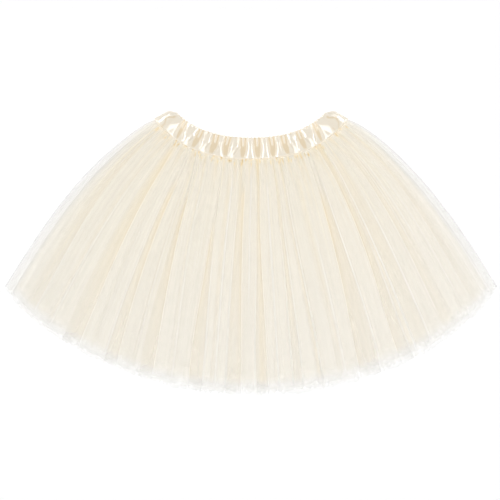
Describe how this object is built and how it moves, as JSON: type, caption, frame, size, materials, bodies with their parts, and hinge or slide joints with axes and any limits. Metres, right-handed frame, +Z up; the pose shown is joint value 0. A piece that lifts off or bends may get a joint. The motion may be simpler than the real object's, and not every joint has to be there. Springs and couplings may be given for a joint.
{
  "type": "tulle skirt",
  "caption": "Gathered tutu skirt of layered sheer tulle with a puckered satin elastic waistband, lying flat with its front up.",
  "frame": {"origin": "centre of the laid-out skirt's outline, on the surface that it rests on", "axes": "+X across the skirt to the right as its front is seen from above, +Y from the hem to the waist, +Z up out of the front"},
  "size_m": [0.7726, 0.4465, 0.0174],
  "materials": {
    "satin": "glossy champagne satin",
    "tulle": "sheer matt champagne net"
  },
  "bodies": {
    "root": {"waistband": "satin", "tulle_outer": "tulle", "tulle_middle": "tulle", "tulle_inner": "tulle"}
  },
  "joints": []
}
